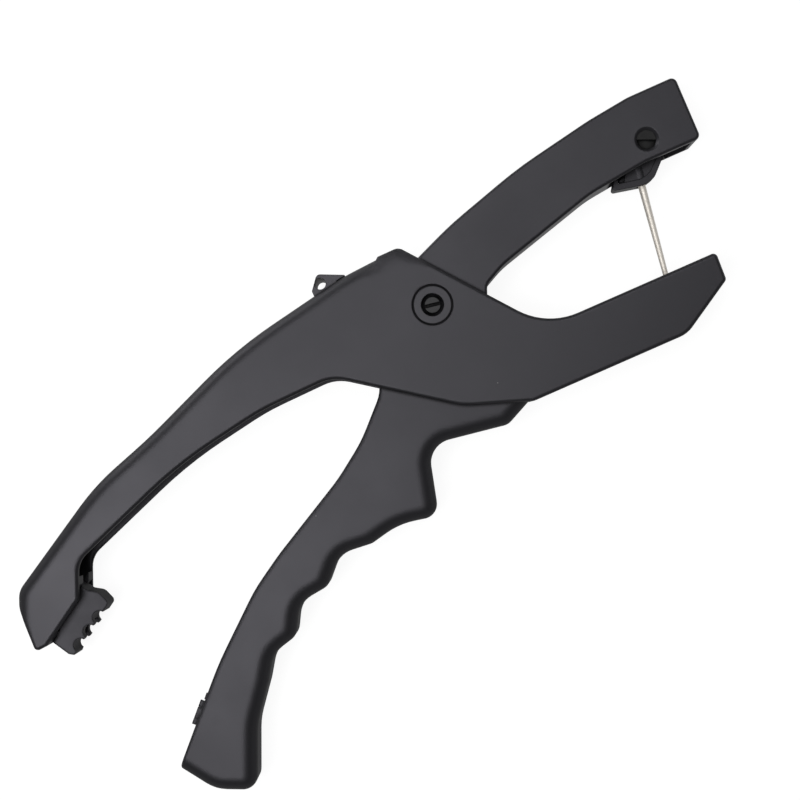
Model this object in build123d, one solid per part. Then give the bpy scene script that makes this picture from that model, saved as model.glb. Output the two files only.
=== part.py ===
from build123d import *
from math import hypot, pi
import os

# Ear tag applicator lying on its far side: crossed pliers in moulded nylon.
# The pivot axis is the Z axis, the jaws point along +X, and Z = 0 is the face it rests on.
# All sizes are in millimetres and all angles in degrees.

# Widths across the tool
FRAME_WIDTH = 25.0
FRAME_WALL = 2.5
PALM_WALL = 2.6
SIDE_GAP = 0.3
LEVER_WALL = 2.4
LEVER_WEB = 3.0
OPEN_SIDE = 6.0
RIB = 1.6
RIB_DEPTH = 8.0

# Edges of the mouldings
PALM_ROUND = 4.0
FRAME_ROUND = 1.2
GRIP_ROUND = 4.6
GRIP_CORNER = GRIP_ROUND + 0.4
RIDGE_ROUND = 5.2
GROOVE_ROUND = 9.0
JAW_ROUND = 1.0
INNER_ROUND = 0.6

# Fits, and how far a cutter runs past what it cuts
PRESS_GAP = 0.02
RUNNING_GAP = 0.05
LOOSE_GAP = 0.3
OVERCUT = 1.0
ACROSS = 300.0

# Lower jaw, on the frame
LOWER_JAW_TOP = -21.7
LOWER_JAW_BOTTOM = -42.6
LOWER_JAW_FRONT = 92.6
LOWER_JAW_TOE = -31.4
FLOOR_REAR = 17.6
HEEL_CUT = 40.0
HEEL_CUT_HIGH = 12.0
FORK_SLOT = 8.0
FORK_REAR = 54.0

# Upper jaw and head, on the lever
HEAD_TOP = 37.4
HEAD_BOTTOM = 15.1
HEAD_FRONT = 104.3
POCKET_REAR = 71.0
ARM_CORE_REAR = 24.0
ARM_CORE_FRONT = 64.0
ARM_BAYS = 3
HUB_REAR = -16.5
HUB_FRONT = 14.0
HEEL_FRONT = 17.0
HEEL_LOW = -46.4
HEEL_BAND = 1.4
GRIP_RIB_TURN = 36.0

# Pivot
PIVOT_D = 10.0
BEARING_D = 13.0
HUB_BOSS_D = 17.0
CAP_D = 12.4
CAP_FLANGE = 1.0
CAP_FLOOR = 1.1
CAP_DEPTH = 4.2
CAP_BORE = 7.6
CAP_GROOVE = 0.7
SCREW_D = 3.0
SCREW_HEAD_D = 5.2
SCREW_HEAD = 3.3
SCREW_END = 1.6
SCREW_SLOT = 1.2
SCREW_SLOT_DEPTH = 1.5
SCREW_TURN = -10.0

# Return spring round the hub
SPRING_WIRE = 1.8
SPRING_PITCH = 2.1
SPRING_SIDE_GAP = 1.4
SPRING_SLACK = 0.5
ROOF_LEG_TURN = 72.8
WEB_LEG_TURN = -40.0
ROOF_LEG = 26.0
WEB_LEG = 50.0

# Swinging pin carrier
AXLE_X = 87.3
AXLE_Y = 21.9
AXLE_D = 6.4
AXLE_SINK = 0.9
AXLE_CHAMFER = 0.9
AXLE_FLAT = 1.4
AXLE_TURN = -23.7
BUSH_D = 8.4
KNUCKLE_D = 11.6
KNUCKLE_SET = 0.5
SHOE_WIDTH = 7.0
CARRIER_WEB = 3.6
CLIP_D = 10.0
CLIP_THICK = 0.8
CLIP_GROOVE = 0.6
CARRIER_WIRE = 0.8
CARRIER_PITCH = 0.85
CARRIER_SLACK = 0.3
CARRIER_DROP = 2.4
CARRIER_TURNS = 2
HEAD_LEG_TURN = 10.0
SHOE_LEG_TURN = 6.0
HEAD_LEG = 11.3
SHOE_LEG = 8.0

# Tag pin
PIN_X = 81.3
PIN_Y = 9.7
PIN_LEAN = 8.8
PIN_REACH = 34.5
PIN_D = 2.6
PIN_TIP_D = 1.8
PIN_POINT = 2.0
PIN_ROOT_D = 4.0
PIN_ROOT = 7.0
PIN_ROOT_CAP = 1.0
PIN_BOSS_D = 6.6
PIN_BOSS_LOW = 1.0
GRUB_D = 3.0
GRUB_LEVEL = 4.6
GRUB_SINK = 0.3

# Latch at the end of the frame handle
MOUTH_X = -161.1
MOUTH_Y = -51.1
MOUTH_ANGLE = 32.0
LATCH_WIDTH = 11.0
LATCH_DEPTH = 8.4
LATCH_TONGUE = 7.0
LATCH_LENGTH = 21.5
LATCH_GAP = 0.2
LATCH_TRAVEL = 4.0
LATCH_SHOULDER = 1.6
SCALLOPS = 3
SCALLOP_R = 2.3
SCALLOP_PITCH = 5.6
SCALLOP_START = 3.4
SCALLOP_LIFT = 0.2
RAIL_GROOVE = 1.4
RAIL_THICK = 1.8
RAIL_RISE = 2.6
RAIL_ROOT = 0.5
RAIL_END = 3.0

# Catch on the trigger that the latch locks
CATCH_X = -125.9
CATCH_Y = -93.75
CATCH_ANGLE = 46.0
CATCH_DROP = 7.0
CATCH_PLATE = 2.0
NUB_PITCH = 6.2
NUB_WIDTH = 2.2
NUB_RISE = 1.5
NUB_SHIFT = 0.75
NUB_THICK = 1.0
PIP_D = 2.2
PIP_DEPTH = 1.2
HOOK_POST = 2.4
HOOK_BARB = 2.2
HOOK_HEAD = 1.8
HOOK_WIDTH = 4.0
HOOK_RISE = 1.9
HOOK_GAP = 0.4
HOOK_ENTRY = 2.7
CLOSE_ANGLE = 18.5

# Tag clip in the lower jaw
CLIP_LEAF = 0.8
CLIP_PRONG = 4.0
CLIP_WIDTH = 15.0
CLIP_REAR = 24.0
CLIP_BEND = 47.0
CLIP_LIFT = 59.0
CLIP_FRONT = 68.0
CLIP_SEAT = -29.0
RIVET_D = 4.0
RIVET_HEAD_D = 7.0
RIVET_HEAD = 1.2
RIVET_SINK = 0.1
RIVET_X = 34.0

# Lanyard eye in the roof
EYE_WIDTH = 17.0
EYE_HOLE_D = 3.8
EYE_HOLE_X = -31.4
EYE_HOLE_Y = 21.8
EYE_BARB = 1.2
EYE_SLOT_HIGH = 14.0
EYE_SLOT_DROP = 4.0
EYE_FRONT = -25.9
EYE_REAR = -34.9

MID_Z = FRAME_WIDTH / 2
LEVER_NEAR = FRAME_WIDTH - FRAME_WALL - SIDE_GAP
LEVER_FAR = FRAME_WALL + SIDE_GAP
POCKET_NEAR = LEVER_NEAR - LEVER_WALL
POCKET_FAR = LEVER_FAR + LEVER_WALL


# Shared forms
def slab(face, low, high):
    """Prism on a flat face between two heights."""
    return Pos(0, 0, low) * extrude(face, high - low, dir=(0, 0, 1))


def disc(diameter, low, high, x=0.0, y=0.0):
    """Round bar along Z."""
    return Pos(x, y, (low + high) / 2) * Cylinder(diameter / 2, high - low)


def rounded_face(corners):
    """Face inside a ring of corners, each an (x, y, radius)."""
    points = [(x, y) for x, y, _ in corners]
    radii = [radius for _, _, radius in corners]
    return make_face(FilletPolyline(*points, radius=radii, close=True))


def moved_sides(corners, moves):
    """Clockwise ring with each side moved inward by its own distance, or outward if negative."""
    lines = []
    for (x0, y0, _), (x1, y1, _), move in zip(corners, corners[1:] + corners[:1], moves):
        length = hypot(x1 - x0, y1 - y0)
        along = ((x1 - x0) / length, (y1 - y0) / length)
        lines.append((x0 + along[1] * move, y0 - along[0] * move, along[0], along[1]))
    ring = []
    for i, (_, _, radius) in enumerate(corners):
        xa, ya, ua, va = lines[i - 1]
        xb, yb, ub, vb = lines[i]
        turn = ua * vb - va * ub
        step = ((xb - xa) * vb - (yb - ya) * ub) / turn
        walled = min(moves[i - 1], moves[i]) > 0
        inner = radius + moves[i] if turn > 0 else max(radius - moves[i], INNER_ROUND)
        ring.append((xa + ua * step, ya + va * step, inner if walled else 0.0))
    return ring


def edges_along(solid, is_chosen):
    """Edges lying in the two side faces of a prism whose middle passes a test."""
    low = solid.bounding_box().min.Z
    high = solid.bounding_box().max.Z
    found = []
    for edge in solid.edges():
        middle = edge.position_at(0.5)
        box = edge.bounding_box()
        flat = box.max.Z - box.min.Z < 0.01
        on_side = min(abs(middle.Z - low), abs(middle.Z - high)) < 0.01
        if flat and on_side and is_chosen(middle.X, middle.Y):
            found.append(edge)
    return found


# Frame: rear handle, body and lower jaw in one moulding
FRAME_CORNERS = [
    (-166.6, -52.4, 1.5),
    (-166.2, -36.0, 0.0),
    (-164.4, -31.6, 7.0),
    (-127.0, -9.6, 80.0),
    (-104.0, -2.2, 200.0),
    (-66.0, 13.0, 150.0),
    (-24.0, 20.7, 80.0),
    (-2.7, 22.1, 3.5),
    (31.9, LOWER_JAW_TOP, 23.0),
    (LOWER_JAW_FRONT, LOWER_JAW_TOP, 1.5),
    (LOWER_JAW_FRONT - 0.5, LOWER_JAW_TOE, 1.5),
    (73.2, LOWER_JAW_BOTTOM, 10.0),
    (18.0, LOWER_JAW_BOTTOM, 3.0),
    (-4.0, -34.7, 25.0),
    (-40.0, -8.5, 14.0),
    (-66.0, -9.2, 80.0),
    (-98.0, -14.6, 150.0),
    (-141.8, -30.7, 8.0),
    (-146.6, -42.2, 1.0),
    (-162.4, -52.1, 1.0),
]
FRAME_MOVES = [FRAME_WALL] * 2 + [PALM_WALL] * 5 + [-OPEN_SIDE] * 3 + [FRAME_WALL] * 2
FRAME_MOVES += [-OPEN_SIDE] * 7 + [FRAME_WALL]
RIB_PLACES = (-134.0, -112.0, -90.0, -68.0, -48.0)
NOSE = 7
NOSE_STEP = [(-10.9, 21.5, 0.0), (-10.3, 22.0, 0.0)]
PALM_SLOPE = 0.4
PALM_LOW = 5.0


def is_palm(x, y):
    """True on the rounded upper edge of the handle and body."""
    rear_x, rear_y, _ = FRAME_CORNERS[1]
    under = min(rear_y + PALM_SLOPE * (x - rear_x), PALM_LOW)
    return rear_x < x < NOSE_STEP[0][0] - FRAME_WALL / 2 and y > under


def latch_place():
    """Place of the latch mouth: X along the slide, -Y out of the handle."""
    return Pos(MOUTH_X, MOUTH_Y, 0) * Rot(0, 0, MOUTH_ANGLE)


def latch_rail():
    """Two ledges on the inside of the handle walls that carry the latch."""
    reach = (FRAME_WIDTH - LATCH_WIDTH) / 2 + RAIL_GROOVE - LATCH_GAP
    depth = reach - FRAME_WALL + RAIL_ROOT
    ledge = Box(LATCH_LENGTH + RAIL_END, RAIL_THICK, depth)
    low = Pos(LATCH_LENGTH / 2, RAIL_RISE + RAIL_THICK / 2, reach - depth / 2) * ledge
    high = Pos(0, 0, 2 * MID_Z) * Rot(180, 0, 0) * Pos(0, -2 * RAIL_RISE - RAIL_THICK, 0) * low
    return latch_place() * (low + high)


def latch_room():
    """Room in the end of the handle that the latch slides in."""
    length = LATCH_LENGTH + LATCH_TRAVEL + 2 * LATCH_SHOULDER
    high = LATCH_TONGUE + LATCH_GAP + OPEN_SIDE
    room = Box(length, high, LATCH_WIDTH + 2 * LOOSE_GAP)
    return latch_place() * Pos(length / 2 - LATCH_SHOULDER, high / 2 - OPEN_SIDE, MID_Z) * room


def make_frame():
    """Handle, body and lower jaw: a channel with side walls, a palm wall and a jaw floor."""
    outline = FRAME_CORNERS[:NOSE] + NOSE_STEP + FRAME_CORNERS[NOSE:]
    block = slab(rounded_face(outline), 0, FRAME_WIDTH)
    block = fillet(edges_along(block, is_palm), PALM_ROUND)
    block = fillet(edges_along(block, lambda x, y: not is_palm(x, y)), FRAME_ROUND)
    cavity = rounded_face(moved_sides(FRAME_CORNERS, FRAME_MOVES))
    hollow = slab(cavity, FRAME_WALL, FRAME_WIDTH - FRAME_WALL)
    inside = FRAME_WIDTH - 2 * FRAME_WALL
    heel = Pos(FLOOR_REAR - HEEL_CUT / 2, LOWER_JAW_BOTTOM, MID_Z) * Box(HEEL_CUT, HEEL_CUT_HIGH, inside)
    body = block - hollow - heel
    body -= fork_cut()
    for x in RIB_PLACES:
        rib = Pos(x, 0, MID_Z) * Box(RIB, ACROSS, inside + OVERCUT)
        body += rib & slab(rounded_face(rib_zone()), FRAME_WALL / 2, FRAME_WIDTH - FRAME_WALL / 2)
    body -= latch_room()
    body += latch_rail() & block
    body -= disc(PIVOT_D + 2 * PRESS_GAP, -OVERCUT, FRAME_WIDTH + OVERCUT)
    for low in (-OVERCUT, FRAME_WIDTH - CAP_FLANGE):
        body -= disc(CAP_D + 2 * CAP_GROOVE, low, low + CAP_FLANGE + OVERCUT)
    rivet_low = LOWER_JAW_BOTTOM - OVERCUT
    body -= rivet_bar(RIVET_D + 2 * PRESS_GAP, rivet_low, LOWER_JAW_BOTTOM + FRAME_WALL + OVERCUT)
    return body - eye_slot()


def rib_zone():
    """Zone under the palm wall that the moulded cross ribs fill."""
    palm = FRAME_CORNERS[3:7]
    upper = [(x, y - PALM_WALL / 2, 0.0) for x, y, _ in palm]
    lower = [(x, y - PALM_WALL - RIB_DEPTH, 0.0) for x, y, _ in palm[::-1]]
    return [(-142.0, -20.0, 0.0)] + upper + lower + [(-140.0, -27.5, 0.0)]


def fork_cut():
    """Slot in the jaw floor, open to the front, that lets the pin pass and swing out."""
    length = LOWER_JAW_FRONT - FORK_REAR + OVERCUT
    middle = FORK_REAR + length / 2
    high = 2 * (LOWER_JAW_TOP - LOWER_JAW_BOTTOM)
    box = Pos(middle, (LOWER_JAW_TOP + LOWER_JAW_BOTTOM) / 2, MID_Z) * Box(length, high, FORK_SLOT)
    end = Pos(FORK_REAR, LOWER_JAW_BOTTOM, MID_Z) * Rot(90, 0, 0) * Cylinder(FORK_SLOT / 2, 2 * OPEN_SIDE)
    return box + end


# Lanyard eye: a fin with a barbed foot, pushed through a slot in the roof
def eye_slot():
    """Slot in the roof for the foot of the lanyard eye."""
    length = EYE_FRONT - EYE_REAR + 2 * PRESS_GAP
    slot = Box(length, EYE_SLOT_HIGH, EYE_WIDTH + 2 * PRESS_GAP)
    return Pos((EYE_FRONT + EYE_REAR) / 2, EYE_HOLE_Y - EYE_SLOT_DROP, MID_Z) * slot


def make_lanyard_eye():
    """Fin standing out of the roof, with the cord hole across it and barbs under the roof."""
    fin = rounded_face([
        (EYE_REAR, 15.3, 0.0),
        (EYE_REAR, 20.6, 0.5),
        (-31.2, 25.2, 1.6),
        (-22.2, 21.0, 0.2),
        (EYE_FRONT, 20.6, 0.0),
        (EYE_FRONT, 17.1, 0.0),
        (EYE_FRONT + EYE_BARB, 17.1, 0.0),
        (EYE_FRONT, 15.2, 0.0),
        (EYE_REAR, 13.4, 0.0),
        (EYE_REAR - EYE_BARB, 15.3, 0.0),
    ])
    eye = slab(fin, MID_Z - EYE_WIDTH / 2, MID_Z + EYE_WIDTH / 2)
    return eye - disc(EYE_HOLE_D, 0, FRAME_WIDTH, EYE_HOLE_X, EYE_HOLE_Y)


# Lever: trigger handle, hub and upper jaw in one moulding
RIDGES = [(-50.3, -64.5), (-69.5, -71.6), (-85.8, -82.5), (-100.3, -92.7)]
GROOVES = [5.0, 5.0, 3.4]


def finger_edge():
    """Corners of the ridges and finger grooves along the front of the trigger."""
    corners = []
    for (x0, y0), (x1, y1), depth in zip(RIDGES, RIDGES[1:], GROOVES):
        length = hypot(x1 - x0, y1 - y0)
        inward = ((y1 - y0) / length, (x0 - x1) / length)
        groove = ((x0 + x1) / 2 + inward[0] * depth, (y0 + y1) / 2 + inward[1] * depth)
        corners.append((x0, y0, RIDGE_ROUND))
        corners.append(groove + (GROOVE_ROUND,))
    return corners + [RIDGES[-1] + (RIDGE_ROUND,)]


LEVER_REAR = [
    (-138.9, -107.2, 0.0),
    (-113.0, -80.4, 120.0),
    (-92.0, -62.6, 60.0),
    (-80.0, -55.2, 100.0),
    (-52.0, -40.2, 60.0),
    (-40.0, -31.9, 50.0),
    (-28.0, -20.0, 12.0),
    (HUB_REAR, 9.2, 8.0),
]
LEVER_JAW_TOP = [
    (16.0, 22.2, 120.0),
    (44.0, 30.4, 150.0),
    (72.0, 35.5, 100.0),
    (87.0, HEAD_TOP - 0.1, 20.0),
]
LEVER_JAW_UNDER = [
    (HEAD_FRONT, HEAD_TOP, 2.0),
    (HEAD_FRONT - 0.3, HEAD_BOTTOM, 2.0),
    (84.0, HEAD_BOTTOM, 20.0),
    (63.0, 12.7, 40.0),
    (27.0, 2.9, 30.0),
    (19.4, -0.9, 4.0),
    (12.5, -18.0, 20.0),
]
LEVER_GRIP = [
    (HEEL_FRONT, -41.9, 0.0),
    (7.3, HEEL_LOW, GRIP_CORNER),
    (-20.0, -41.9, 8.0),
    (-26.2, -65.0, GRIP_CORNER),
    (-39.5, -62.2, 25.0),
] + finger_edge() + [
    (-109.4, -104.2, 25.0),
    (-118.2, -124.4, GRIP_CORNER),
    (-131.0, -118.6, 14.0),
]
LEVER_CORNERS = LEVER_REAR + LEVER_JAW_TOP + LEVER_JAW_UNDER + LEVER_GRIP


def is_grip(x, y):
    """True at the heel, where the rounded front edge of the trigger begins."""
    return x > HUB_REAR and y < HEEL_LOW + HEEL_BAND


def lever_core(open_from, open_to):
    """Face of the hollow inside the lever, with a run of its sides left open."""
    moves = [LEVER_WEB] * len(LEVER_CORNERS)
    moves[open_from:open_to] = [-OPEN_SIDE] * (open_to - open_from)
    return slab(rounded_face(moved_sides(LEVER_CORNERS, moves)), POCKET_FAR, POCKET_NEAR)


def band(start, end):
    """Block across the lever between two places along X."""
    return Pos((start + end) / 2, 0, MID_Z) * Box(end - start, ACROSS, FRAME_WIDTH)


def axle_hole():
    """Bore for the carrier axle, with a chamfer at each face."""
    bore = AXLE_D + 2 * PRESS_GAP
    hole = disc(bore, 0, FRAME_WIDTH)
    flare = Cone(bore / 2, bore / 2 + AXLE_CHAMFER, AXLE_CHAMFER)
    hole += Pos(0, 0, LEVER_NEAR - AXLE_CHAMFER / 2) * flare
    hole += Pos(0, 0, LEVER_FAR + AXLE_CHAMFER / 2) * Rot(180, 0, 0) * flare
    return Pos(AXLE_X, AXLE_Y, 0) * hole


def grip_rib(place, along):
    """Cross rib behind one ridge of the trigger."""
    rib = Box(RIB, 2 * RIB_DEPTH, POCKET_NEAR - POCKET_FAR + OVERCUT)
    return Pos(place[0], place[1], MID_Z) * Rot(0, 0, along) * rib


def make_lever():
    """Trigger channel open to the rear, hollow hub, cored arm and an open head pocket."""
    block = slab(rounded_face(LEVER_CORNERS), LEVER_FAR, LEVER_NEAR)
    block = fillet(edges_along(block, is_grip), GRIP_ROUND)
    block = fillet(edges_along(block, lambda x, y: not is_grip(x, y)), JAW_ROUND)
    jaw_top = len(LEVER_REAR)
    jaw_under = jaw_top + len(LEVER_JAW_TOP)
    body = block - (lever_core(0, jaw_under) - band(HUB_FRONT, HEAD_FRONT + OPEN_SIDE))
    bay = (ARM_CORE_FRONT - ARM_CORE_REAR - (ARM_BAYS - 1) * RIB) / ARM_BAYS
    for i in range(ARM_BAYS):
        start = ARM_CORE_REAR + i * (bay + RIB)
        body -= lever_core(jaw_top - 1, jaw_under) & band(start, start + bay)
    body -= lever_core(jaw_under + 1, jaw_under + 5) & band(POCKET_REAR, HEAD_FRONT)
    for place in RIDGES:
        body += grip_rib(place, GRIP_RIB_TURN) & block
    body += disc(HUB_BOSS_D, POCKET_FAR, POCKET_NEAR)
    body -= disc(BEARING_D + 2 * PRESS_GAP, 0, FRAME_WIDTH)
    body -= axle_hole()
    return body - catch_place() * catch_pips(PRESS_GAP)


# Latch catch: a plate snapped across the trigger channel, with cheeks along both walls and a hook
def catch_place():
    """Place of the catch: X along the rear edge of the trigger, Y out of it."""
    return Pos(CATCH_X, CATCH_Y, 0) * Rot(0, 0, CATCH_ANGLE)


def catch_pips(gap):
    """Pip at each end of the catch plate that snaps into a blind hole in the trigger wall."""
    low = POCKET_FAR - PIP_DEPTH - gap
    high = POCKET_NEAR + PIP_DEPTH + gap
    return disc(PIP_D + 2 * gap, low, high, NUB_SHIFT, CATCH_PLATE / 2 - CATCH_DROP)


def make_latch_catch():
    """Plate across the channel, two cheeks with nubs behind the trigger, pips and the hook."""
    length = NUB_PITCH + NUB_WIDTH
    low = POCKET_FAR + PRESS_GAP
    high = POCKET_NEAR - PRESS_GAP
    side = Pos(NUB_SHIFT, CATCH_PLATE / 2 - CATCH_DROP) * Rectangle(length, CATCH_PLATE)
    catch = slab(side.face(), low, high) + catch_pips(0)
    for x in (-NUB_PITCH / 2, NUB_PITCH / 2):
        leg = Pos(NUB_SHIFT + x, (NUB_RISE - CATCH_DROP) / 2) * Rectangle(NUB_WIDTH, CATCH_DROP + NUB_RISE)
        catch += slab(leg.face(), low, low + NUB_THICK)
        catch += slab(leg.face(), high - NUB_THICK, high)
    post_high = CATCH_DROP + HOOK_RISE
    post = Pos(0, HOOK_RISE - post_high / 2, MID_Z) * Box(HOOK_POST, post_high, HOOK_WIDTH)
    barb = Box(HOOK_BARB + HOOK_POST / 2, HOOK_HEAD, HOOK_WIDTH)
    barb = Pos(-HOOK_BARB / 2 - HOOK_POST / 4, HOOK_RISE - HOOK_HEAD / 2, MID_Z) * barb
    return catch_place() * (catch + post + barb)


# Latch: a serrated slider on two rails in the end of the frame handle
def make_latch_slider():
    """Slider with three thumb scallops, side grooves for the rails and a hook pocket."""
    end = LATCH_LENGTH
    side = rounded_face([
        (LATCH_SHOULDER, LATCH_TONGUE, 0.8),
        (end - LATCH_SHOULDER, LATCH_TONGUE, 0.8),
        (end - LATCH_SHOULDER, -0.2, 0.0),
        (end, -3.6, 3.0),
        (end - 1.0, -LATCH_DEPTH, 1.5),
        (2.0, -LATCH_DEPTH, 0.0),
        (-0.3, -LATCH_DEPTH - 0.5, 0.5),
        (-1.2, -LATCH_DEPTH + 1.4, 0.5),
        (-1.0, -0.3, 0.5),
        (LATCH_SHOULDER, -0.3, 0.0),
    ])
    low = MID_Z - LATCH_WIDTH / 2
    body = slab(side, low, low + LATCH_WIDTH)
    for i in range(SCALLOPS):
        place = SCALLOP_START + i * SCALLOP_PITCH
        body -= disc(2 * SCALLOP_R, 0, FRAME_WIDTH, place, -LATCH_DEPTH - SCALLOP_LIFT)
    groove = Box(2 * end, RAIL_THICK + 2 * LATCH_GAP, 2 * RAIL_GROOVE)
    for z in (low, low + LATCH_WIDTH):
        body -= Pos(end / 2, RAIL_RISE + RAIL_THICK / 2, z) * groove
    return latch_place() * (body - hook_pocket())


def hook_pocket():
    """Pocket in the slider that the hook enters, with a lip that locks over its barb."""
    closed = latch_place().inverse() * Rot(0, 0, -CLOSE_ANGLE) * catch_place()
    hook_front = closed.position.X + HOOK_POST / 2
    barb_rear = closed.position.X - HOOK_POST / 2 - HOOK_BARB
    front = hook_front + HOOK_GAP
    mouth_rear = barb_rear - HOOK_ENTRY
    inner_rear = barb_rear - LATCH_TRAVEL - HOOK_GAP
    lip = closed.position.Y - HOOK_GAP
    top = lip + HOOK_HEAD + 3 * HOOK_GAP
    bottom = -LATCH_DEPTH - 2 * OVERCUT
    ceiling = lip + HOOK_GAP
    deep = HOOK_WIDTH + 2 * HOOK_GAP
    inner = Box(front - inner_rear, top - lip, deep)
    inner = Pos((inner_rear + front) / 2, (lip + top) / 2, MID_Z) * inner
    mouth = Box(front - mouth_rear, ceiling - bottom, deep)
    mouth = Pos((mouth_rear + front) / 2, (bottom + ceiling) / 2, MID_Z) * mouth
    return inner + mouth


# Pivot: a steel pin between two flanged caps, drawn together by one slotted screw
def make_pivot_pin():
    """Pin that the lever turns on, drilled through for the screw."""
    end = CAP_DEPTH + CAP_FLOOR
    pin = disc(PIVOT_D, end, FRAME_WIDTH - end)
    return pin - disc(SCREW_D + 2 * PRESS_GAP, 0, FRAME_WIDTH)


def make_front_cap():
    """Flanged cup in the near wall, open to the screw head."""
    top = FRAME_WIDTH
    cap = disc(CAP_D, top - CAP_FLANGE, top)
    cap += disc(PIVOT_D, top - CAP_DEPTH - CAP_FLOOR, top - CAP_FLANGE / 2)
    cap -= disc(CAP_BORE, top - CAP_DEPTH, top + OVERCUT)
    return cap - disc(SCREW_D + 2 * RUNNING_GAP, 0, top)


def make_rear_cap():
    """Flanged plug in the far wall, with a blind hole that takes the end of the screw."""
    cap = disc(CAP_D, 0, CAP_FLANGE)
    cap += disc(PIVOT_D, CAP_FLANGE / 2, CAP_DEPTH + CAP_FLOOR)
    return cap - disc(SCREW_D + 2 * PRESS_GAP, SCREW_END - LOOSE_GAP, FRAME_WIDTH)


def make_pivot_screw():
    """Slotted screw from the floor of the near cap, through the pin and into the far cap."""
    seat = FRAME_WIDTH - CAP_DEPTH
    screw = disc(SCREW_HEAD_D, seat, seat + SCREW_HEAD)
    screw += disc(SCREW_D, SCREW_END, seat + SCREW_HEAD / 2)
    slot = Box(SCREW_HEAD_D + OVERCUT, SCREW_SLOT, 2 * SCREW_SLOT_DEPTH)
    return screw - Pos(0, 0, seat + SCREW_HEAD) * Rot(0, 0, SCREW_TURN) * slot


def make_lever_bearing():
    """Sleeve pressed into the hub of the lever."""
    sleeve = disc(BEARING_D, LEVER_FAR, LEVER_NEAR)
    return sleeve - disc(PIVOT_D + 2 * RUNNING_GAP, 0, FRAME_WIDTH)


# Torsion springs
def torsion_spring(radius, wire, pitch, start, end, turns, start_leg, end_leg):
    """Coil about Z, wound clockwise going up, with a straight leg at each end."""
    swept = (start - end) % 360 + 360 * turns
    height = pitch * swept / 360
    coil = Rot(0, 0, start) * Helix(pitch, height, radius, lefthand=True)
    first = coil @ 0
    last = coil @ 1
    path = Wire([
        Line(first - (coil % 0) * start_leg, first),
        coil.edge(),
        Line(last, last + (coil % 1) * end_leg),
    ])
    profile = Plane(path @ 0, z_dir=path % 0) * Circle(wire / 2)
    return sweep(profile, path=path, is_frenet=True)


def make_return_spring():
    """Spring round the hub that opens the handles, from the roof to the trigger web."""
    radius = HUB_BOSS_D / 2 + SPRING_SLACK + SPRING_WIRE / 2
    slope = SPRING_PITCH / (2 * pi * radius)
    low = POCKET_FAR + SPRING_SIDE_GAP + SPRING_WIRE / 2 + ROOF_LEG * slope
    high = POCKET_NEAR - SPRING_SIDE_GAP - SPRING_WIRE / 2 - WEB_LEG * slope
    turns = int((high - low) / SPRING_PITCH - (ROOF_LEG_TURN - WEB_LEG_TURN) / 360)
    spring = torsion_spring(radius, SPRING_WIRE, SPRING_PITCH, ROOF_LEG_TURN, WEB_LEG_TURN,
                            turns, ROOF_LEG, WEB_LEG)
    return Pos(0, 0, low) * spring


# Swinging carrier: axle, bush, clips, spring and the carrier itself
def make_carrier_axle():
    """Axle across the head, with a flat at its near end and a groove for each clip."""
    low = LEVER_FAR + AXLE_SINK
    high = LEVER_NEAR - AXLE_SINK
    axle = disc(AXLE_D, low, high)
    ring = disc(AXLE_D + OVERCUT, 0, CLIP_THICK) - disc(AXLE_D - 2 * CLIP_GROOVE, 0, CLIP_THICK)
    for z in clip_levels():
        axle -= Pos(0, 0, z) * ring
    flat = Pos(0, -AXLE_D / 2, high) * Box(2 * AXLE_D, AXLE_D, 2 * AXLE_FLAT)
    return Pos(AXLE_X, AXLE_Y, 0) * (axle - Rot(0, 0, AXLE_TURN) * flat)


def clip_levels():
    """Undersides of the two clips, just inside the pocket walls."""
    return (POCKET_FAR + PRESS_GAP, POCKET_NEAR - CLIP_THICK - PRESS_GAP)


def make_axle_clips():
    """Two open spring rings in the grooves of the axle."""
    ring = disc(CLIP_D, 0, CLIP_THICK) - disc(AXLE_D - 2 * CLIP_GROOVE + 2 * PRESS_GAP, 0, CLIP_THICK)
    ring -= Pos(CLIP_D / 2, 0, CLIP_THICK / 2) * Box(CLIP_D, AXLE_D - 2 * CLIP_GROOVE, 2 * CLIP_THICK)
    rings = [Pos(AXLE_X, AXLE_Y, z) * ring for z in clip_levels()]
    return Compound(children=rings)


def knuckle_levels():
    """Ends of the knuckle on the axle, clear of the near clip and of the spring."""
    return (MID_Z - KNUCKLE_SET, POCKET_NEAR - CLIP_THICK - LOOSE_GAP)


def make_carrier_bush():
    """Sleeve in the knuckle that runs on the axle."""
    low, high = knuckle_levels()
    sleeve = disc(BUSH_D, low, high) - disc(AXLE_D + 2 * RUNNING_GAP, 0, FRAME_WIDTH)
    return Pos(AXLE_X, AXLE_Y, 0) * sleeve


def pin_place():
    """Place of the tag pin: Z up along the pin, from the underside of the carrier."""
    return Pos(PIN_X, PIN_Y, MID_Z) * Rot(0, 0, -PIN_LEAN) * Rot(-90, 0, 0)


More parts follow.
